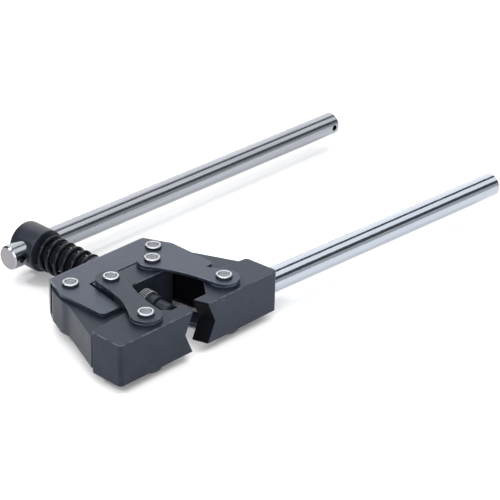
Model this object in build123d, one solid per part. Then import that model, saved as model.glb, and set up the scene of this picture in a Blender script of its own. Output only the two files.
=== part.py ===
from build123d import *
import math
import os

# Roller chain breaker, all sizes in millimetres.
# The origin is on the screw's axis, at the plane behind the jaw lips where the chain sits.
# +X runs along the screw towards the jaw fronts, +Y towards the handle's free end, +Z up.
# The tool is the same above and below Z = 0, and the jaws mirror each other about Y = 0.

# Fits
RUNNING = 0.05         # radial clearance of every rivet, screw and bar in its hole
OPEN_PIVOT = 0.25      # radial clearance where the linkage is closed by a loose hole
AXIAL_PLAY = 0.05      # end play of a link between its washer and the rivet head

# Pivots, right-hand side (the left side has Y negated)
JAW_PIVOT = (-61.1, 32.4)
NUT_PIVOT = (-45.2, 16.1)
LINK_PIVOT = (-2.3, 30.6)

# Heights above the mid-plane
BLOCK_HALF = 12.95     # jaw blocks and nut block
ARM_HALF = 9.65        # jaw arms, between the yoke's plates
YOKE_HALF = 12.45
SHEET = 2.5
WASHER_THICK = 1.5
LINK_THICK = 2.0
HEAD_HIGH = 1.8
ABOVE_ALL = 20.0       # cutters end here, clear of the whole tool

# Yoke plates
WEB_X = -76.5
WEB_HALF_WIDE = 34.8
SHOULDER = (-57.4, 43.8)
EAR_FRONT_X = -22.7
EAR_INNER_Y = 29.9
THROAT = (-54.2, 24.8)
WEB_HOLE_RADIUS = 7.6
EAR_ROUND = 3.5
SHOULDER_ROUND = 3.0
BEND_RADIUS = 1.2      # inside the bends between the web and the plates

# Jaws
FRONT_X = 9.5
END_Y = 61.0
HANDLE_CORNER_Y = 62.6 # front corner of the handle's jaw, a little proud of END_Y
LIP_REAR_Y = 2.9
LIP_FRONT_Y = 5.9
LIP_INNER_Y = 13.5
SEAT_CORNER = (-16.4, 27.0)
HEEL_X = -13.6
CORNER_ROUND = 2.4
EDGE_BREAK = 0.7       # rounding of the top and bottom faces' edges
NOTCH_DEPTH = 5.95
ARM_BOSS_RADIUS = 10.5
ARM_BOSS_TURN = 110.0  # degrees from +X to where the boss meets the arm's outer side
ARM_KNEE = (-46.5, 46.8)
ARM_SHOULDER = (-53.2, 46.0)
ARM_INNER = (-55.0, 25.5)
ARM_OVERLAP = 8.0      # how far the arm runs into the block
ARM_BLEND = 20.0       # radius that smooths the knee and the shoulder
SOCKET_DEPTH = 22.0
SOCKET_CLEARANCE = 0.02
SPIGOT_RADIUS = 5.5    # turned-down root of the handle, pressed into the jaw
SPIGOT_STEP = 2.2      # how far the handle's full size starts outside the end face

# Screw, punch and bars
BAR_RADIUS = 7.4
BAR_CHAMFER = 0.8
THREAD_RADIUS = 7.0
HEAD_RADIUS = 13.0
HEAD_REAR_X = -136.5
HEAD_FRONT_X = -117.5
T_BAR_X = -126.8
T_BAR_START_Y = -22.4
T_BAR_END_Y = 264.5
T_BAR_DROP = 0.42      # degrees the screw stands turned, so the far end hangs a little low
HANGING_HOLE_RADIUS = 2.0
HANGING_HOLE_INSET = 5.0
HANDLE_X = -4.3
HANDLE_END_Y = 263.5
HANDLE_LEAN = 3.0      # degrees, forward from the block's end face
THREAD_END_X = -29.0
NECK_RADIUS = 6.4
TIP_START_X = -23.5
TIP_END_X = -14.0
TIP_RADIUS = 5.0
TIP_ROUND = 2.0
STUB_RADIUS = 2.5      # spigot on the neck that the punch holder turns on
STUB_LENGTH = 4.0
PUNCH_RADIUS = 1.8
PUNCH_START_X = -18.8
PUNCH_END_X = -11.0

# Nut block
NUT_REAR_X = -53.0
NUT_FRONT_X = -35.6
NUT_HALF_WIDE = 23.5
NUT_ROUND = 0.8

# Rivets, washers and links
SHANK_RADIUS = 3.5
RIVET_HEAD_RADIUS = 4.85
DIMPLE_RADIUS = 3.1
DIMPLE_DEPTH = 0.6
LINK_END_RADIUS = 9.1
LINK_OUTER_WAIST = 5.8
LINK_INNER_WAIST = 6.3

# Spring
WIRE_RADIUS = 1.5
COIL_RADIUS = 9.7
COILS = 5.5
SPRING_END_GAP = 0.1
THRUST_WASHER_THICK = 1.5
THRUST_WASHER_RADIUS = 11.0


def mirrored(centre, side):
    """A plan position on the right (1) or the left (-1)."""
    return (centre[0], side * centre[1])


def plate(points, low, high):
    """A closed outline in plan, extruded from one height to the other."""
    face = make_face(Polyline(*points, close=True))
    return Pos(0, 0, low) * extrude(face, high - low)


def rod_x(radius, start, end):
    """A cylinder along X on the screw's axis."""
    length = end - start
    return Pos(start + length / 2, 0, 0) * Rot(0, 90, 0) * Cylinder(radius, length)


def pin_z(centre, radius, low, high):
    """A vertical cylinder."""
    return Pos(centre[0], centre[1], (low + high) / 2) * Cylinder(radius, high - low)


def upright_edges(part, places, reach=0.6):
    """The vertical edges of a part that stand at the given plan positions."""
    found = []
    for edge in part.edges().filter_by(Axis.Z):
        middle = edge @ 0.5
        for x, y in places:
            if math.hypot(middle.X - x, middle.Y - y) < reach:
                found.append(edge)
    return found


def make_yoke():
    shoulder_x, shoulder_y = SHOULDER
    half = [
        (WEB_X, WEB_HALF_WIDE),
        SHOULDER,
        (EAR_FRONT_X, shoulder_y),
        (EAR_FRONT_X, EAR_INNER_Y),
        THROAT,
    ]
    outline = half + [(x, -y) for x, y in reversed(half)]
    body = plate(outline, -YOKE_HALF, YOKE_HALF)
    corners = [(EAR_FRONT_X, shoulder_y), (EAR_FRONT_X, -shoulder_y)]
    body = fillet(upright_edges(body, corners), EAR_ROUND)
    shoulders = [(shoulder_x, shoulder_y), (shoulder_x, -shoulder_y)]
    body = fillet(upright_edges(body, shoulders), SHOULDER_ROUND)
    bends = body.edges().filter_by(Axis.Y).group_by(Axis.X)[0]
    body = fillet(bends, BEND_RADIUS + SHEET)
    deep = EAR_FRONT_X - WEB_X
    inside = Pos(WEB_X + SHEET + deep / 2, 0, 0) * Box(deep, 3 * shoulder_y, 2 * (YOKE_HALF - SHEET))
    inside = fillet(inside.edges().filter_by(Axis.Y).group_by(Axis.X)[0], BEND_RADIUS)
    body -= inside
    body -= rod_x(WEB_HOLE_RADIUS, WEB_X - SHEET, WEB_X + 2 * SHEET)
    for side in (1, -1):
        body -= pin_z(mirrored(JAW_PIVOT, side), SHANK_RADIUS + RUNNING, -ABOVE_ALL, ABOVE_ALL)
    return body


def arm_outline(side):
    """Plan of a jaw arm: round boss at the pivot, straight flared outer side."""
    x, y = JAW_PIVOT
    r = ARM_BOSS_RADIUS
    turn = math.radians(ARM_BOSS_TURN)
    inside_x = HEEL_X + ARM_OVERLAP
    outer = [
        (inside_x, END_Y - ARM_OVERLAP / 4),
        (HEEL_X, END_Y),
        ARM_KNEE,
        ARM_SHOULDER,
        (x + r * math.cos(turn), y + r * math.sin(turn)),
    ]
    inner = [(x, y - r), ARM_INNER, SEAT_CORNER, (inside_x, SEAT_CORNER[1])]
    outer = [mirrored(point, side) for point in outer]
    inner = [mirrored(point, side) for point in inner]
    boss = ThreePointArc(outer[-1], (x - r, side * y), inner[0])
    return make_face([Polyline(*outer), boss, Polyline(*inner, outer[0])])


def make_jaw(side):
    arm = Pos(0, 0, -ARM_HALF) * extrude(arm_outline(side), 2 * ARM_HALF)
    bends = [mirrored(point, side) for point in (ARM_KNEE, ARM_SHOULDER)]
    arm = fillet(upright_edges(arm, bends), ARM_BLEND)
    corner_y = HANDLE_CORNER_Y if side > 0 else END_Y
    points = [
        (FRONT_X, LIP_FRONT_Y),
        (FRONT_X, corner_y),
        (HEEL_X, END_Y),
        SEAT_CORNER,
        (0.0, LIP_INNER_Y),
        (0.0, LIP_REAR_Y),
    ]
    block = plate([mirrored(point, side) for point in points], -BLOCK_HALF, BLOCK_HALF)
    corners = [(FRONT_X, side * corner_y), (HEEL_X, side * END_Y)]
    block = fillet(upright_edges(block, corners), CORNER_ROUND)
    jaw = block + arm - lip_notch(side)
    for pivot in (JAW_PIVOT, LINK_PIVOT):
        jaw -= pin_z(mirrored(pivot, side), SHANK_RADIUS + RUNNING, -ABOVE_ALL, ABOVE_ALL)
    flats = jaw.faces().filter_by(Plane.XY).sort_by(Axis.Z)
    rims = flats[0].outer_wire().edges() + flats[-1].outer_wire().edges()
    return fillet(rims, EDGE_BREAK)


def lip_notch(side):
    """V groove along the lip's tip, deepest at mid-height."""
    reach = 2.0
    beyond = 4.0
    front = FRONT_X + reach
    lean = (LIP_FRONT_Y - LIP_REAR_Y) / FRONT_X
    profiles = []
    for x in (-reach, front):
        tip_y = LIP_REAR_Y + lean * x
        corners = [
            (x, side * tip_y, BLOCK_HALF),
            (x, side * (tip_y + NOTCH_DEPTH), 0),
            (x, side * tip_y, -BLOCK_HALF),
            (x, side * (tip_y - beyond), -BLOCK_HALF),
            (x, side * (tip_y - beyond), BLOCK_HALF),
        ]
        profiles.append(make_face(Polyline(*corners, close=True)))
    return loft(profiles, ruled=True)


def handle_place():
    """Frame of the handle: origin where its axis meets the block's end face, Z along the rod."""
    return Pos(HANDLE_X, 0, 0) * Rot(0, 0, -HANDLE_LEAN) * Pos(0, END_Y, 0) * Rot(-90, 0, 0)


def make_handle():
    """Round bar with a turned-down spigot at its root."""
    length = (HANDLE_END_Y - END_Y) / math.cos(math.radians(HANDLE_LEAN))
    bar_length = length - SPIGOT_STEP
    bar = Pos(0, 0, SPIGOT_STEP + bar_length / 2) * Cylinder(BAR_RADIUS, bar_length)
    bar = chamfer(bar.edges().filter_by(GeomType.CIRCLE), BAR_CHAMFER)
    spigot_length = SOCKET_DEPTH + SPIGOT_STEP + BAR_RADIUS
    spigot = Pos(0, 0, spigot_length / 2 - SOCKET_DEPTH) * Cylinder(SPIGOT_RADIUS, spigot_length)
    return handle_place() * (bar + spigot)


def make_socket():
    """The blind hole that the handle's spigot is pressed into."""
    depth = SOCKET_DEPTH + 0.3
    mouth = 10.0
    hole = Cylinder(SPIGOT_RADIUS + SOCKET_CLEARANCE, depth + mouth)
    return handle_place() * (Pos(0, 0, (mouth - depth) / 2) * hole)


def make_nut_block():
    length = NUT_FRONT_X - NUT_REAR_X
    middle = (NUT_FRONT_X + NUT_REAR_X) / 2
    block = Pos(middle, 0, 0) * Box(length, 2 * NUT_HALF_WIDE, 2 * BLOCK_HALF)
    block = fillet(block.edges(), NUT_ROUND)
    block -= rod_x(THREAD_RADIUS + RUNNING, NUT_REAR_X - 1, NUT_FRONT_X + 1)
    for side in (1, -1):
        block -= pin_z(mirrored(NUT_PIVOT, side), SHANK_RADIUS + RUNNING, -ABOVE_ALL, ABOVE_ALL)
    return block


def waist_arc(start, end, outward, waist):
    """Arc drawn in to the waist, tangent to the round ends of a link."""
    r = LINK_END_RADIUS
    half = (end - start).length / 2
    bend = (half**2 + waist**2 - r**2) / (2 * (r - waist))
    middle = (start + end) * 0.5
    bend_centre = middle + outward * (waist + bend)
    first = start + (bend_centre - start).normalized() * r
    last = end + (bend_centre - end).normalized() * r
    return ThreePointArc(first, middle + outward * waist, last)


def link_outline(side):
    """Dog-bone plan: round ends joined by an outer and an inner waist."""
    start = Vector(NUT_PIVOT[0], side * NUT_PIVOT[1])
    end = Vector(LINK_PIVOT[0], side * LINK_PIVOT[1])
    along = (end - start).normalized()
    outward = Vector(-along.Y, along.X) * side
    outer = waist_arc(start, end, outward, LINK_OUTER_WAIST)
    inner = waist_arc(start, end, -outward, LINK_INNER_WAIST)
    rear = ThreePointArc(inner @ 0, start - along * LINK_END_RADIUS, outer @ 0)
    front = ThreePointArc(outer @ 1, end + along * LINK_END_RADIUS, inner @ 1)
    return make_face([outer, front, inner, rear])


def make_link(side, level):
    low = BLOCK_HALF + WASHER_THICK + AXIAL_PLAY
    body = Pos(0, 0, low) * extrude(link_outline(side), LINK_THICK - 2 * AXIAL_PLAY)
    body = chamfer(body.edges().filter_by(Plane.XY), 0.3)
    body -= pin_z(mirrored(NUT_PIVOT, side), SHANK_RADIUS + RUNNING, 0, ABOVE_ALL)
    body -= pin_z(mirrored(LINK_PIVOT, side), SHANK_RADIUS + OPEN_PIVOT, 0, ABOVE_ALL)
    return body if level > 0 else mirror(body, Plane.XY)


def make_washer(centre, level):
    ring = pin_z(centre, LINK_END_RADIUS, BLOCK_HALF, BLOCK_HALF + WASHER_THICK)
    ring = chamfer(ring.edges().filter_by(GeomType.CIRCLE), 0.2)
    ring -= pin_z(centre, SHANK_RADIUS + RUNNING, 0, ABOVE_ALL)
    return ring if level > 0 else mirror(ring, Plane.XY)


def make_rivet(centre, grip_half):
    """Rivet through the tool, with a flat dimpled head at both ends."""
    r = RIVET_HEAD_RADIUS
    top = grip_half + HEAD_HIGH
    profile = Polyline(
        (0, 0),
        (SHANK_RADIUS, 0),
        (SHANK_RADIUS, grip_half),
        (r - 0.1, grip_half),
        (r, grip_half + 0.3),
        (r, top - 0.6),
        (r - 0.5, top - 0.1),
        (r - 1.0, top),
        (DIMPLE_RADIUS, top),
        (DIMPLE_RADIUS - 0.5, top - 0.8 * DIMPLE_DEPTH),
        (0, top - DIMPLE_DEPTH),
        close=True,
    )
    upper = revolve(Rot(90, 0, 0) * make_face(profile), Axis.Z)
    return Pos(*centre, 0) * (upper + mirror(upper, Plane.XY))


def t_bar_place():
    """Frame of the T-bar: origin on the screw's axis, Z along the bar to its far end."""
    return Pos(T_BAR_X, 0, 0) * Rot(-90 - T_BAR_DROP, 0, 0)


def make_screw():
    shaft = rod_x(THREAD_RADIUS, HEAD_FRONT_X - 1, THREAD_END_X)
    shaft = chamfer(shaft.edges().group_by(Axis.X)[-1], 1.2)
    neck = rod_x(NECK_RADIUS, THREAD_END_X - 1, TIP_START_X - AXIAL_PLAY)
    stub = rod_x(STUB_RADIUS, TIP_START_X - 1, TIP_START_X + STUB_LENGTH)
    head = rod_x(HEAD_RADIUS, HEAD_REAR_X, HEAD_FRONT_X)
    head = chamfer(head.edges().filter_by(GeomType.CIRCLE), BAR_CHAMFER)
    hole = Cylinder(BAR_RADIUS + 2 * RUNNING, 3 * HEAD_RADIUS)
    return head + shaft + neck + stub - t_bar_place() * hole


def make_punch_holder():
    """Swivelling nose of the screw, with a socket for the punch pin."""
    tip = rod_x(TIP_RADIUS, TIP_START_X, TIP_END_X)
    tip = fillet(tip.edges().group_by(Axis.X)[-1], TIP_ROUND)
    tip = chamfer(tip.edges().group_by(Axis.X)[0], 0.4)
    tip -= rod_x(STUB_RADIUS + RUNNING, TIP_START_X - 1, TIP_START_X + STUB_LENGTH + 0.2)
    tip -= rod_x(PUNCH_RADIUS + SOCKET_CLEARANCE, PUNCH_START_X - 0.2, TIP_END_X + 1)
    return tip


def make_punch_pin():
    pin = rod_x(PUNCH_RADIUS, PUNCH_START_X, PUNCH_END_X)
    return chamfer(pin.edges().group_by(Axis.X)[-1], 0.3)


def make_t_bar():
    length = T_BAR_END_Y - T_BAR_START_Y
    middle = (T_BAR_END_Y + T_BAR_START_Y) / 2
    bar = Pos(0, 0, middle) * Cylinder(BAR_RADIUS, length)
    bar = chamfer(bar.edges().filter_by(GeomType.CIRCLE), BAR_CHAMFER)
    hole = Rot(0, 90, 0) * Cylinder(HANGING_HOLE_RADIUS, 3 * BAR_RADIUS)
    for reach in (T_BAR_START_Y + HANGING_HOLE_INSET, T_BAR_END_Y - HANGING_HOLE_INSET):
        bar -= Pos(0, 0, reach) * hole
    return t_bar_place() * bar


def make_spring():
    start = HEAD_FRONT_X + WIRE_RADIUS + SPRING_END_GAP
    end = WEB_X - THRUST_WASHER_THICK - WIRE_RADIUS - SPRING_END_GAP
    length = end - start
    path = Helix(pitch=length / COILS, height=length, radius=COIL_RADIUS)
    wire = Plane(origin=path @ 0, z_dir=path % 0) * Circle(WIRE_RADIUS)
    coil = sweep(wire, path=path, is_frenet=True)
    return Pos(start, 0, 0) * Rot(0, 90, 0) * coil


def make_thrust_washer():
    ring = rod_x(THRUST_WASHER_RADIUS, WEB_X - THRUST_WASHER_THICK, WEB_X)
    return ring - rod_x(WEB_HOLE_RADIUS, WEB_X - 2 * THRUST_WASHER_THICK, WEB_X + SHEET)


def build_nodes():
    link_grip = BLOCK_HALF + WASHER_THICK + LINK_THICK
    nodes = {
        "yoke": make_yoke(),
        "left_jaw": make_jaw(-1),
        "right_jaw": make_jaw(1) - make_socket(),
        "handle_rod": make_handle(),
        "nut_block": make_nut_block(),
        "screw": make_screw(),
        "punch_holder": make_punch_holder(),
        "punch_pin": make_punch_pin(),
        "t_bar": make_t_bar(),
        "compression_spring": make_spring(),
        "thrust_washer": make_thrust_washer(),
    }
    for side, side_name in ((-1, "left"), (1, "right")):
        nodes[side_name + "_jaw_pivot_rivet"] = make_rivet(mirrored(JAW_PIVOT, side), YOKE_HALF)
        nodes[side_name + "_nut_rivet"] = make_rivet(mirrored(NUT_PIVOT, side), link_grip)
        nodes[side_name + "_link_rivet"] = make_rivet(mirrored(LINK_PIVOT, side), link_grip)
        for level, level_name in ((1, "upper"), (-1, "lower")):
            name = level_name + "_" + side_name
            nodes[name + "_link"] = make_link(side, level)
            nodes[name + "_nut_washer"] = make_washer(mirrored(NUT_PIVOT, side), level)
            nodes[name + "_jaw_washer"] = make_washer(mirrored(LINK_PIVOT, side), level)
    return nodes


os.makedirs("parts", exist_ok=True)
for name, solid in build_nodes().items():
    export_step(solid, os.path.join("parts", name + ".step"))
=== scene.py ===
import math

import bmesh
import bpy
from mathutils import Matrix, Vector


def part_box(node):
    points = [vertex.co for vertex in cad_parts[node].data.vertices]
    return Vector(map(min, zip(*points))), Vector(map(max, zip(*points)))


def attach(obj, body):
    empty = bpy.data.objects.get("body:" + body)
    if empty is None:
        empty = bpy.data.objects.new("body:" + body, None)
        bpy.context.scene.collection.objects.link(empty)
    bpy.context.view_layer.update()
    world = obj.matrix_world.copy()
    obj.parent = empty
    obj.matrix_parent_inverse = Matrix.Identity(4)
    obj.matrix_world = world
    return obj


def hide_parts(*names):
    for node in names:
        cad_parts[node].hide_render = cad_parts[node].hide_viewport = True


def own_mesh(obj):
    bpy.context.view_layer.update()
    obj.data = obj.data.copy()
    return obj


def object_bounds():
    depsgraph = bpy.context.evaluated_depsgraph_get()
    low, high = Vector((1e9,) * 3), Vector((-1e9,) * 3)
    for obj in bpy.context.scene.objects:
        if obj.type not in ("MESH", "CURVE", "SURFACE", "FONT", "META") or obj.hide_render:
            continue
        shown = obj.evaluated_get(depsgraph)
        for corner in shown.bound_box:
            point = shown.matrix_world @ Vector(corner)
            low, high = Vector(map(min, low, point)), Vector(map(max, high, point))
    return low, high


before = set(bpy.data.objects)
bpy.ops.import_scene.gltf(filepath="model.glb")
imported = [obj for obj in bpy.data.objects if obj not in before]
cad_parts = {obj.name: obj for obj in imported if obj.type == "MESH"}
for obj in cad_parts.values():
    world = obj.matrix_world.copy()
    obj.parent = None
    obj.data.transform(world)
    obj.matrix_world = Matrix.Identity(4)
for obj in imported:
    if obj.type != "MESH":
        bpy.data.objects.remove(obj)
CAD_LOW, CAD_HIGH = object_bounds()

MM = 0.001
SIDES = ("left", "right")
LEVELS = ("upper", "lower")

# Driving sizes, in metres; the rest is read from the frame's boxes
THREAD_PITCH = 1.5 * MM
THREAD_DEPTH = 0.95 * MM
THREAD_RADIUS = 7.0 * MM
NECK_RADIUS = 6.4 * MM
NECK_START_X = -29.0 * MM
WIRE_RADIUS = 1.5 * MM
SPRING_TURNS = 5.9
CLOSED_TURNS = 0.9
RIVET_SHANK = 3.5 * MM
RIVET_HEAD = 1.8 * MM
HEAD_LENGTH = 19.0 * MM
SPIGOT_RADIUS = 2.45 * MM
CLEARANCE = 0.1 * MM
HANDLE_LEAN = math.radians(3.0)
BAR_DROP = math.radians(0.42)

# Camera
CAMERA_PLACE = (0.71273, -0.72534, 0.57747)
CAMERA_AZIMUTH = math.radians(42.624)
CAMERA_ELEVATION = math.radians(27.597)
CAMERA_ROLL = math.radians(1.514)
CAMERA_LENS = 151.2

# Stage, in metres
FLOOR_HALF = 6.0
FLOOR_GAP = 0.2 * MM
PANEL_DISTANCE = 2.6
PANEL_BEYOND = 2.25
PANEL_LENGTH = 4.0

# Mesh steps
SPRING_STEPS = 72
WIRE_SIDES = 20

# Colours of the oiled black steel
OXIDE_DARK = (0.009, 0.011, 0.016)
OXIDE_LIGHT = (0.016, 0.020, 0.028)
OXIDE_WORN = (0.10, 0.11, 0.13)


# ---------------------------------------------------------------- materials

class Finish:
    """A procedural material, built node by node around one Principled shader."""

    def __init__(self, name, colour, metallic, roughness, specular=0.5):
        self.material = bpy.data.materials.new(name)
        self.material.use_nodes = True
        self.tree = self.material.node_tree
        self.shader = self.tree.nodes["Principled BSDF"]
        self.put("Base Color", (*colour, 1.0))
        self.put("Metallic", metallic)
        self.put("Roughness", roughness)
        self.put("Specular IOR Level", specular)
        self.material.diffuse_color = (*colour, 1.0)
        coordinates = self.tree.nodes.new("ShaderNodeTexCoord")
        self.place = coordinates.outputs["Object"]
        self.normal = coordinates.outputs["Normal"]

    def put(self, socket, value):
        """Sets or links one input of the shader."""
        self.fill(self.shader.inputs[socket], value)

    def fill(self, socket, value):
        if isinstance(value, bpy.types.NodeSocket):
            self.tree.links.new(value, socket)
        else:
            socket.default_value = value

    def node(self, kind, inputs=(), **settings):
        made = self.tree.nodes.new("ShaderNode" + kind)
        for key, value in settings.items():
            setattr(made, key, value)
        for key, value in dict(inputs).items():
            self.fill(made.inputs[key], value)
        return made

    def stretched(self, scale, turn=0.0):
        """The piece's coordinates, scaled apart along each axis."""
        inputs = {"Vector": self.place, "Scale": scale, "Rotation": (0.0, 0.0, turn)}
        return self.node("Mapping", inputs).outputs["Vector"]

    def noise(self, scale, detail=4.0, roughness=0.55, where=None):
        inputs = {
            "Vector": where or self.place,
            "Scale": scale,
            "Detail": detail,
            "Roughness": roughness,
        }
        return self.node("TexNoise", inputs).outputs["Fac"]

    def remap(self, value, low, high, to_low=0.0, to_high=1.0):
        inputs = {
            "Value": value,
            "From Min": low,
            "From Max": high,
            "To Min": to_low,
            "To Max": to_high,
        }
        return self.node("MapRange", inputs).outputs["Result"]

    def maths(self, operation, first, second=0.0):
        return self.node("Math", {0: first, 1: second}, operation=operation).outputs[0]

    def blend(self, share, first, second):
        """Mixes two colours."""
        made = self.node("Mix", {"Factor": share}, data_type="RGBA")
        for key, colour in (("A", first), ("B", second)):
            linked = isinstance(colour, bpy.types.NodeSocket)
            self.fill(made.inputs[key], colour if linked else (*colour, 1.0))
        return made.outputs["Result"]

    def bump(self, height, distance, strength):
        made = self.node("Bump", {"Height": height, "Distance": distance, "Strength": strength})
        self.put("Normal", made.outputs["Normal"])

    def edge_mask(self):
        """One on the sloping faces that break a flat plate's edges, nought on its flats."""
        upward = self.node("SeparateXYZ", {"Vector": self.normal}).outputs["Z"]
        upward = self.maths("ABSOLUTE", upward)
        rising = self.remap(upward, 0.12, 0.35)
        falling = self.remap(upward, 0.985, 0.9)
        return self.maths("MULTIPLY", rising, falling)

    def inward_shade_mask(self):
        """One on the faces that look in towards the tool's middle plane, which take painted shade.
        """
        place = self.node("SeparateXYZ", {"Vector": self.place}).outputs["Y"]
        facing = self.node("SeparateXYZ", {"Vector": self.normal}).outputs["Y"]
        outward = self.maths("MULTIPLY", self.maths("SIGN", place), facing)
        return self.remap(outward, -0.4, -0.55)

    def shell_mask(self, inner, outer):
        """One between two distances from the screw's axis."""
        place = self.node("SeparateXYZ", {"Vector": self.place})
        inputs = {"Y": place.outputs["Y"], "Z": place.outputs["Z"]}
        across = self.node("CombineXYZ", inputs).outputs[0]
        distance = self.node("VectorMath", {0: across}, operation="LENGTH").outputs["Value"]
        rising = self.remap(distance, inner, inner + 0.3 * MM)
        falling = self.remap(distance, outer, outer - 0.1 * MM)
        return self.maths("MULTIPLY", rising, falling)


def black_oxide(name, shine, roughness=0.42, shaded_lips=False):
    """Oiled black-oxide steel: faint cloudy mottling, a few rubbed specks, paler broken edges,
    and, if asked, painted shade on the lips' inward faces.
    """
    finish = Finish(name, OXIDE_DARK, 0.0, roughness, specular=shine)
    finish.put("Specular Tint", (0.55, 0.68, 1.0, 1.0))
    clouds = finish.noise(90.0, 5.0, 0.6)
    grain = finish.noise(2600.0, 3.0, 0.6)
    colour = finish.blend(finish.remap(clouds, 0.35, 0.7), OXIDE_DARK, OXIDE_LIGHT)
    specks = finish.remap(finish.noise(520.0, 2.0, 0.5), 0.70, 0.78, 0.0, 0.55)
    colour = finish.blend(specks, colour, OXIDE_WORN)
    rubbed = finish.remap(finish.noise(240.0, 4.0, 0.65), 0.38, 0.62, 0.15, 0.9)
    colour = finish.blend(finish.maths("MULTIPLY", finish.edge_mask(), rubbed), colour, OXIDE_WORN)
    if shaded_lips:
        # painted shade: the lips' inward faces are coloured nearly black and lose most of their
        # sheen
        shaded = finish.inward_shade_mask()
        finish.put("Specular IOR Level", finish.remap(shaded, 0.0, 1.0, shine, 0.06))
        colour = finish.blend(shaded, colour, (0.003, 0.003, 0.004))
    finish.put("Base Color", colour)
    finish.put("Roughness", finish.remap(clouds, 0.3, 0.75, roughness - 0.05, roughness + 0.07))
    finish.bump(finish.maths("ADD", grain, finish.maths("MULTIPLY", clouds, 0.8)), 0.00006, 0.5)
    return finish.material


def worn_and_highlit_thread(name):
    """Black screw steel with the thread's crests coloured pale towards the neck: partly rubbed
    crest wear, partly a painted highlight.
    """
    finish = Finish(name, (0.009, 0.010, 0.013), 0.0, 0.4, specular=0.36)
    finish.put("Specular Tint", (0.66, 0.76, 1.0, 1.0))
    clouds = finish.noise(90.0, 5.0, 0.6)
    mottled = finish.remap(clouds, 0.35, 0.7)
    colour = finish.blend(mottled, (0.007, 0.008, 0.011), (0.014, 0.016, 0.021))
    rubbed = finish.remap(finish.noise(420.0, 4.0, 0.6), 0.3, 0.6, 0.45, 1.0)
    ahead = finish.node("SeparateXYZ", {"Vector": finish.place}).outputs["X"]
    rubbed = finish.maths("MULTIPLY", rubbed, finish.remap(ahead, -60.0 * MM, -50.0 * MM))
    # wear and painted highlight: the pale crests stand for both the rubbed crests and the light
    # they catch
    crest_wear_and_highlight = finish.maths("MULTIPLY", finish.shell_mask(6.45 * MM, 7.2 * MM), rubbed)
    finish.put("Base Color", finish.blend(crest_wear_and_highlight, colour, (0.30, 0.31, 0.33)))
    finish.put("Roughness", finish.remap(clouds, 0.3, 0.75, 0.34, 0.46))
    finish.bump(finish.noise(2600.0, 3.0, 0.6), 0.00006, 0.5)
    return finish.material


def bar_metal(name, colour, streak, roughness, lean=0.0, streaks=0.35, sawn=None):
    """A drawn and plated round bar: long fine streaks, a few nicks, and duller sawn ends."""
    finish = Finish(name, colour, 1.0, roughness)
    lines = finish.noise(1.0, 3.0, 0.6, finish.stretched((1500.0, 9.0, 1500.0), lean))
    fine = finish.noise(1.0, 2.0, 0.5, finish.stretched((4200.0, 45.0, 4200.0), lean))
    clouds = finish.noise(55.0, 4.0, 0.6)
    share = finish.remap(lines, 0.42, 0.68, 0.0, streaks)
    tone = finish.blend(share, colour, streak)
    nicks = finish.remap(finish.noise(310.0, 2.0, 0.5), 0.72, 0.76, 0.0, 0.5)
    tone = finish.blend(nicks, tone, streak)
    if sawn:
        facing = finish.node("SeparateXYZ", {"Vector": finish.normal}).outputs["Y"]
        tone = finish.blend(finish.remap(finish.maths("ABSOLUTE", facing), 0.8, 0.95), tone, sawn)
    finish.put("Base Color", tone)
    coarse = finish.maths("MULTIPLY", lines, 0.6)
    spread = finish.maths("ADD", coarse, finish.maths("MULTIPLY", clouds, 0.4))
    finish.put("Roughness", finish.remap(spread, 0.35, 0.65, roughness * 0.8, roughness * 1.35))
    finish.bump(fine, 0.00003, 0.35)
    return finish.material


def rivet_metal(name, bright, dull, roughness):
    """Upset rivet steel, hammered and slightly stained."""
    finish = Finish(name, bright, 1.0, roughness)
    hammered = finish.noise(900.0, 4.0, 0.65)
    stains = finish.remap(hammered, 0.4, 0.65, 0.0, 0.7)
    finish.put("Base Color", finish.blend(stains, bright, dull))
    finish.put("Roughness", finish.remap(hammered, 0.3, 0.7, roughness * 0.8, roughness * 1.3))
    finish.bump(hammered, 0.00012, 0.6)
    return finish.material


def spring_wire(name):
    """Hardened spring wire, glossy black with faint drawing lines."""
    finish = Finish(name, (0.004, 0.004, 0.005), 0.0, 0.14, specular=0.2)
    finish.put("Specular Tint", (0.70, 0.80, 1.0, 1.0))
    clouds = finish.noise(260.0, 4.0, 0.6)
    mottled = finish.remap(clouds, 0.4, 0.7)
    finish.put("Base Color", finish.blend(mottled, (0.002, 0.002, 0.003), (0.006, 0.006, 0.008)))
    finish.put("Roughness", finish.remap(clouds, 0.3, 0.7, 0.10, 0.20))
    finish.bump(finish.noise(2200.0, 3.0), 0.00003, 0.4)
    return finish.material


def paint(piece, material):
    """Gives a piece its first material."""
    # Clearing resets each face's material number, so a new mesh isn't cleared
    if piece.data.materials:
        piece.data.materials.clear()
    piece.data.materials.append(material)


# ------------------------------------------------------------------ meshes

def finished(name, bm, body, material, replaced, smooth_angle=40.0):
    """Turns a bmesh into a shown piece that rides on a body in place of its CAD node."""
    bmesh.ops.recalc_face_normals(bm, faces=bm.faces)
    mesh = bpy.data.meshes.new(name)
    bm.to_mesh(mesh)
    bm.free()
    mesh.shade_smooth()
    mesh.set_sharp_from_angle(angle=math.radians(smooth_angle))
    piece = bpy.data.objects.new(name, mesh)
    bpy.context.scene.collection.objects.link(piece)
    paint(piece, material)
    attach(piece, body)
    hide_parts(*replaced)
    return piece


def along_x(x, radius, angle):
    return (x, radius * math.cos(angle), radius * math.sin(angle))


def ring(bm, x, radius, segments):
    return [bm.verts.new(along_x(x, radius, 2 * math.pi * i / segments)) for i in range(segments)]


def bridge(bm, first, second):
    count = len(first)
    for i in range(count):
        k = (i + 1) % count
        bm.faces.new((first[i], first[k], second[k], second[i]))


def fan(bm, loop, centre):
    tip = bm.verts.new(centre)
    for i, vertex in enumerate(loop):
        bm.faces.new((vertex, loop[(i + 1) % len(loop)], tip))


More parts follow.
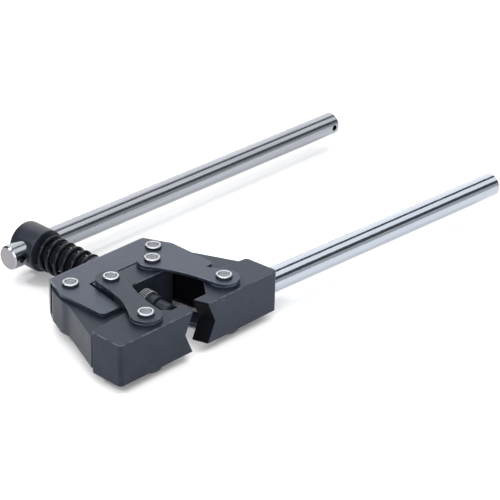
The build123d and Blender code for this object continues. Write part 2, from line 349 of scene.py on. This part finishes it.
def lathe(bm, profile, segments=96):
    """Turns (x, radius) points about the X axis, with a fan closing each end."""
    loops = [ring(bm, x, radius, segments) for x, radius in profile]
    for first, second in zip(loops, loops[1:]):
        bridge(bm, first, second)
    fan(bm, loops[0], (profile[0][0], 0.0, 0.0))
    fan(bm, loops[-1], (profile[-1][0], 0.0, 0.0))


def rounded(corners, radius, steps=5):
    """A profile whose inner corners are each replaced by a small arc."""
    points = [corners[0]]
    for before, corner, after in zip(corners, corners[1:], corners[2:]):
        here = Vector(corner)
        first = Vector(before) - here
        last = Vector(after) - here
        reach = min(radius, 0.49 * first.length, 0.49 * last.length)
        start = here + first.normalized() * reach
        end = here + last.normalized() * reach
        for i in range(steps + 1):
            t = i / steps
            points.append(tuple(start.lerp(here, t).lerp(here.lerp(end, t), t)))
    points.append(corners[-1])
    return points


def threaded(bm, start, end, around=72, along=12):
    """A right-hand screw thread about X, as one closed shell whose grid follows the helix."""
    turns = int((end - start) / THREAD_PITCH)
    rows = turns * along

    def radius(row):
        phase = (row % along) / along
        crest = min(1.0, max(0.0, abs(phase - 0.5) * 3.2 - 0.3))
        fade = min(1.0, row / along, (rows - row) / along)
        return THREAD_RADIUS - THREAD_DEPTH * (1.0 - crest * max(fade, 0.0))

    grid = []
    for row in range(rows + 1):
        line = []
        for i in range(around):
            x = start + (row / along + i / around) * THREAD_PITCH
            line.append(bm.verts.new(along_x(x, radius(row), 2 * math.pi * i / around)))
        grid.append(line)
    for row in range(rows):
        for i in range(around - 1):
            bm.faces.new((grid[row][i], grid[row][i + 1], grid[row + 1][i + 1], grid[row + 1][i]))
    for row in range(rows - along):
        last, first = grid[row], grid[row + along]
        bm.faces.new((last[-1], first[0], grid[row + along + 1][0], grid[row + 1][-1]))
    low_seam = [grid[row][0] for row in range(along, 0, -1)]
    fan(bm, grid[0] + low_seam, (start + THREAD_PITCH / 2, 0.0, 0.0))
    high_seam = [grid[row][-1] for row in range(rows - along, rows)]
    fan(bm, grid[rows] + high_seam[::-1], (start + (turns + 0.5) * THREAD_PITCH, 0.0, 0.0))


def drilled(bm, x, radius, length, drop):
    """Cuts a falling hole along Y through the shells in a bmesh, and breaks its edges."""
    parts = []
    for name in ("drill_body", "drill"):
        mesh = bpy.data.meshes.new(name)
        parts.append(bpy.data.objects.new(name, mesh))
        bpy.context.scene.collection.objects.link(parts[-1])
    body, drill = parts
    bmesh.ops.recalc_face_normals(bm, faces=bm.faces)
    bm.to_mesh(body.data)
    bm.free()
    tool = bmesh.new()
    turn = Matrix.Translation((x, 0.0, 0.0)) @ Matrix.Rotation(math.pi / 2 - drop, 4, "X")
    bmesh.ops.create_cone(
        tool, cap_ends=True, segments=96, radius1=radius, radius2=radius, depth=length, matrix=turn
    )
    tool.to_mesh(drill.data)
    tool.free()
    cut = body.modifiers.new("cut", "BOOLEAN")
    cut.operation = "DIFFERENCE"
    cut.solver = "EXACT"
    cut.object = drill
    edge = body.modifiers.new("edge", "BEVEL")
    edge.width = 0.35 * MM
    edge.segments = 2
    edge.limit_method = "ANGLE"
    edge.angle_limit = math.radians(50.0)
    bpy.context.view_layer.update()
    graph = bpy.context.evaluated_depsgraph_get()
    shape = bpy.data.meshes.new_from_object(body.evaluated_get(graph))
    made = bmesh.new()
    made.from_mesh(shape)
    for part in parts:
        bpy.data.objects.remove(part)
    return made


def make_screw(material):
    """Round cross-drilled head, threaded shaft, plain neck and the spigot the punch turns on."""
    low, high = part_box("screw")
    head_radius = high.z
    bar_low, bar_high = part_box("t_bar")
    bar_x = (bar_low.x + bar_high.x) / 2
    bar_radius = (bar_high.x - bar_low.x) / 2
    head_end = low.x + HEAD_LENGTH
    holder_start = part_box("punch_holder")[0].x
    head = bmesh.new()
    flat = 9.0 * MM
    corners = [(low.x, flat), (low.x, head_radius), (head_end, head_radius), (head_end, flat)]
    lathe(head, rounded(corners, 1.1 * MM), 128)
    bm = drilled(head, bar_x, bar_radius + CLEARANCE, 4 * head_radius, BAR_DROP)
    threaded(bm, head_end - 3.4 * THREAD_PITCH, NECK_START_X + 0.5 * THREAD_PITCH)
    neck = [
        (NECK_START_X - 5.0 * MM, NECK_RADIUS - 1.2 * MM),
        (NECK_START_X - 0.3 * MM, NECK_RADIUS - 0.9 * MM),
        (NECK_START_X + 0.9 * MM, NECK_RADIUS),
        (holder_start - CLEARANCE, NECK_RADIUS),
        (holder_start - CLEARANCE, SPIGOT_RADIUS),
        (high.x - CLEARANCE, SPIGOT_RADIUS),
    ]
    lathe(bm, rounded(neck, 0.3 * MM, 3), 72)
    return finished("screw_with_thread", bm, "screw", material, ["screw"])


def make_spring(material):
    """Compression spring with its last coil closed beside the head and both ends ground flat.

    A piece can follow one joint; this one rides on the yoke body and has a mesh of its own.
    """
    low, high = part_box("compression_spring")
    coil_radius = high.z - WIRE_RADIUS
    start = low.x + WIRE_RADIUS
    end = high.x - WIRE_RADIUS
    closed_pitch = 2.02 * WIRE_RADIUS
    open_pitch = (end - start - CLOSED_TURNS * closed_pitch) / (SPRING_TURNS - CLOSED_TURNS)
    steps = int(SPRING_TURNS * SPRING_STEPS)
    bm = bmesh.new()
    loops = []
    for i in range(steps + 1):
        turn = SPRING_TURNS * i / steps
        if turn < CLOSED_TURNS:
            x = start + turn * closed_pitch
        else:
            x = start + CLOSED_TURNS * closed_pitch + (turn - CLOSED_TURNS) * open_pitch
        angle = 2 * math.pi * turn + math.radians(200.0)
        loop = []
        for k in range(WIRE_SIDES):
            lean = 2 * math.pi * k / WIRE_SIDES
            radius = coil_radius + WIRE_RADIUS * math.cos(lean)
            place = min(max(x + WIRE_RADIUS * math.sin(lean), low.x + 0.45 * MM), high.x)
            loop.append(bm.verts.new(along_x(place, radius, angle)))
        loops.append(loop)
    for first, second in zip(loops, loops[1:]):
        bridge(bm, first, second)
    for loop in (loops[0], loops[-1]):
        middle = sum((v.co for v in loop), Vector()) / WIRE_SIDES
        fan(bm, loop, middle)
    piece = finished(
        "spring_coil", bm, "yoke", material, ["compression_spring"],
        smooth_angle=60.0,
    )
    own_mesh(piece)
    return piece


def make_rivet(node, body, materials):
    """Solid rivet: each end is upset into a flat head with a rounded rim and a shallow dimple.

    The materials are those of the rim, of the dimple and of the blackened shank.
    """
    low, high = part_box(node)
    centre = (low + high) / 2
    top = high.z
    radius = (high.x - low.x) / 2
    grip = top - RIVET_HEAD
    half = [
        (grip - 0.4 * MM, RIVET_SHANK),
        (grip, RIVET_SHANK),
        (grip, radius * 0.98),
        (grip + 0.35 * MM, radius),
        (top - 0.35 * MM, radius * 0.985),
        (top, radius * 0.90),
        (top, radius * 0.72),
        (top - 0.42 * MM, radius * 0.64),
        (top - 0.56 * MM, radius * 0.30),
        (top - 0.58 * MM, radius * 0.05),
    ]
    profile = rounded(half, 0.25 * MM, 4)
    whole = [(-x, r) for x, r in reversed(profile)] + profile
    bm = bmesh.new()
    lathe(bm, whole, 64)
    upright = Matrix.Translation((centre.x, centre.y, 0.0)) @ Matrix.Rotation(-math.pi / 2, 4, "Y")
    bmesh.ops.transform(bm, matrix=upright, verts=bm.verts)
    for face in bm.faces:
        place = face.calc_center_median()
        if math.hypot(place.x - centre.x, place.y - centre.y) < radius * 0.705:
            face.material_index = 1
        elif abs(place.z) < top - 0.45 * MM:
            face.material_index = 2
    piece = finished(node + "_upset", bm, body, materials[0], [node])
    for material in materials[1:]:
        piece.data.materials.append(material)
    return piece


# ------------------------------------------------------------------- stage

def make_floor():
    bm = bmesh.new()
    bmesh.ops.create_grid(bm, x_segments=1, y_segments=1, size=FLOOR_HALF)
    mesh = bpy.data.meshes.new("floor")
    bm.to_mesh(mesh)
    bm.free()
    floor = bpy.data.objects.new("floor", mesh)
    floor.location = (0.0, 0.0, CAD_LOW.z - FLOOR_GAP)
    bpy.context.scene.collection.objects.link(floor)
    finish = Finish("floor_paper", (0.93, 0.93, 0.93), 0.0, 0.9, specular=0.1)
    floor.data.materials.append(finish.material)


def area_light(name, width, height, radiance, matrix):
    """A plain rectangular light that shines down its own -Z."""
    light = bpy.data.lights.new(name, "AREA")
    light.shape = "RECTANGLE"
    light.size = width
    light.size_y = height
    light.energy = radiance * math.pi * width * height
    lamp = bpy.data.objects.new(name, light)
    lamp.matrix_world = matrix
    bpy.context.scene.collection.objects.link(lamp)


def softbox(name, place, aim, width, height, radiance):
    turn = (Vector(aim) - Vector(place)).to_track_quat("-Z", "Y").to_matrix().to_4x4()
    area_light(name, width, height, radiance, Matrix.Translation(place) @ turn)


def long_panel(name, middle, start, end, radiance):
    """A panel along the bars, filling the angles start to end (degrees from +X) round them."""
    angle = math.radians((start + end) / 2)
    width = 2 * PANEL_DISTANCE * math.tan(math.radians(end - start) / 2)
    outward = Vector((math.cos(angle), 0.0, math.sin(angle)))
    along = Vector((0.0, 1.0, 0.0))
    turn = Matrix((along, outward.cross(along), outward)).transposed().to_4x4()
    place = middle + outward * PANEL_DISTANCE + along * PANEL_BEYOND
    area_light(name, PANEL_LENGTH, width, radiance, Matrix.Translation(place) @ turn)


def make_lights():
    middle = (CAD_LOW + CAD_HIGH) / 2
    softbox("overhead", (middle.x, middle.y - 0.2, 1.7), middle, 2.4, 2.4, 1.9)
    softbox("front_fill", (middle.x + 1.15, middle.y - 1.25, 0.80), middle, 2.6, 1.4, 3.2)
    softbox("glint", (middle.x - 0.75, middle.y - 1.2, 1.25), middle, 0.22, 0.22, 60.0)
    long_panel("back_panel", middle, 109.0, 176.0, 1.65)
    long_panel("top_panel", middle, 50.0, 88.0, 1.55)
    long_panel("side_panel", middle, -3.0, 24.0, 0.6)
    world = bpy.data.worlds.new("studio")
    world.use_nodes = True
    background = world.node_tree.nodes["Background"].inputs
    background["Color"].default_value = (0.95, 0.97, 1.0, 1.0)
    background["Strength"].default_value = 0.12
    bpy.context.scene.world = world


def make_camera():
    """A long lens above the left jaw, looking down along the bars."""
    a, e, roll = CAMERA_AZIMUTH, CAMERA_ELEVATION, CAMERA_ROLL
    back = Vector((math.sin(a) * math.cos(e), -math.cos(a) * math.cos(e), math.sin(e)))
    level = Vector((math.cos(a), math.sin(a), 0.0))
    upright = back.cross(level)
    right = level * math.cos(roll) + upright * math.sin(roll)
    up = upright * math.cos(roll) - level * math.sin(roll)
    data = bpy.data.cameras.new("camera")
    data.lens = CAMERA_LENS
    data.sensor_width = 36.0
    camera = bpy.data.objects.new("camera", data)
    turn = Matrix((right, up, back)).transposed().to_4x4()
    camera.matrix_world = Matrix.Translation(CAMERA_PLACE) @ turn
    bpy.context.scene.collection.objects.link(camera)
    bpy.context.scene.camera = camera


# -------------------------------------------------------------------- build

def dress_cad_nodes():
    """Materials for the CAD nodes that show as they are."""
    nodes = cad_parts
    steel = black_oxide("black_oxide_steel", 0.36)
    sheet = black_oxide("sheet_black", 0.66, roughness=0.38)
    left = black_oxide("left_jaw_black", 0.24, shaded_lips=True)
    right = black_oxide("right_jaw_black", 0.33, shaded_lips=True)
    paint(nodes["left_jaw"], left)
    paint(nodes["right_jaw"], right)
    paint(nodes["nut_block"], steel)
    paint(nodes["thrust_washer"], steel)
    paint(nodes["yoke"], sheet)
    for level in LEVELS:
        for side in SIDES:
            link = nodes[level + "_" + side + "_link"]
            paint(link, sheet if side == "right" else steel)
            for end in ("_nut_washer", "_jaw_washer"):
                paint(nodes[level + "_" + side + end], steel)
    dark = worn_and_highlit_thread("screw_black")
    paint(nodes["punch_holder"], dark)
    punch = bar_metal("punch_ground", (0.35, 0.35, 0.36), (0.2, 0.2, 0.21), 0.3)
    paint(nodes["punch_pin"], punch)
    bar = bar_metal(
        "nickel_bar", (0.32, 0.335, 0.37), (0.18, 0.19, 0.22), 0.17,
        streaks=0.6, sawn=(0.24, 0.225, 0.24),
    )
    paint(nodes["t_bar"], bar)
    chrome = bar_metal(
        "chrome_bar", (0.40, 0.435, 0.49), (0.32, 0.345, 0.39), 0.09,
        lean=HANDLE_LEAN, streaks=0.25,
    )
    paint(nodes["handle_rod"], chrome)
    return steel, dark


def build():
    steel, dark = dress_cad_nodes()
    make_screw(dark)
    make_spring(spring_wire("spring_black"))
    rim = rivet_metal("rivet_rim", (0.46, 0.47, 0.50), (0.33, 0.34, 0.36), 0.30)
    dimple = rivet_metal("rivet_dimple", (0.20, 0.21, 0.23), (0.08, 0.08, 0.09), 0.38)
    rivets = (rim, dimple, steel)
    for side in SIDES:
        make_rivet(side + "_jaw_pivot_rivet", "yoke", rivets)
        make_rivet(side + "_nut_rivet", "nut_block", rivets)
        make_rivet(side + "_link_rivet", side + "_jaw", rivets)
    make_floor()
    make_lights()
    make_camera()
    bpy.context.scene.view_settings.view_transform = "Standard"


build()
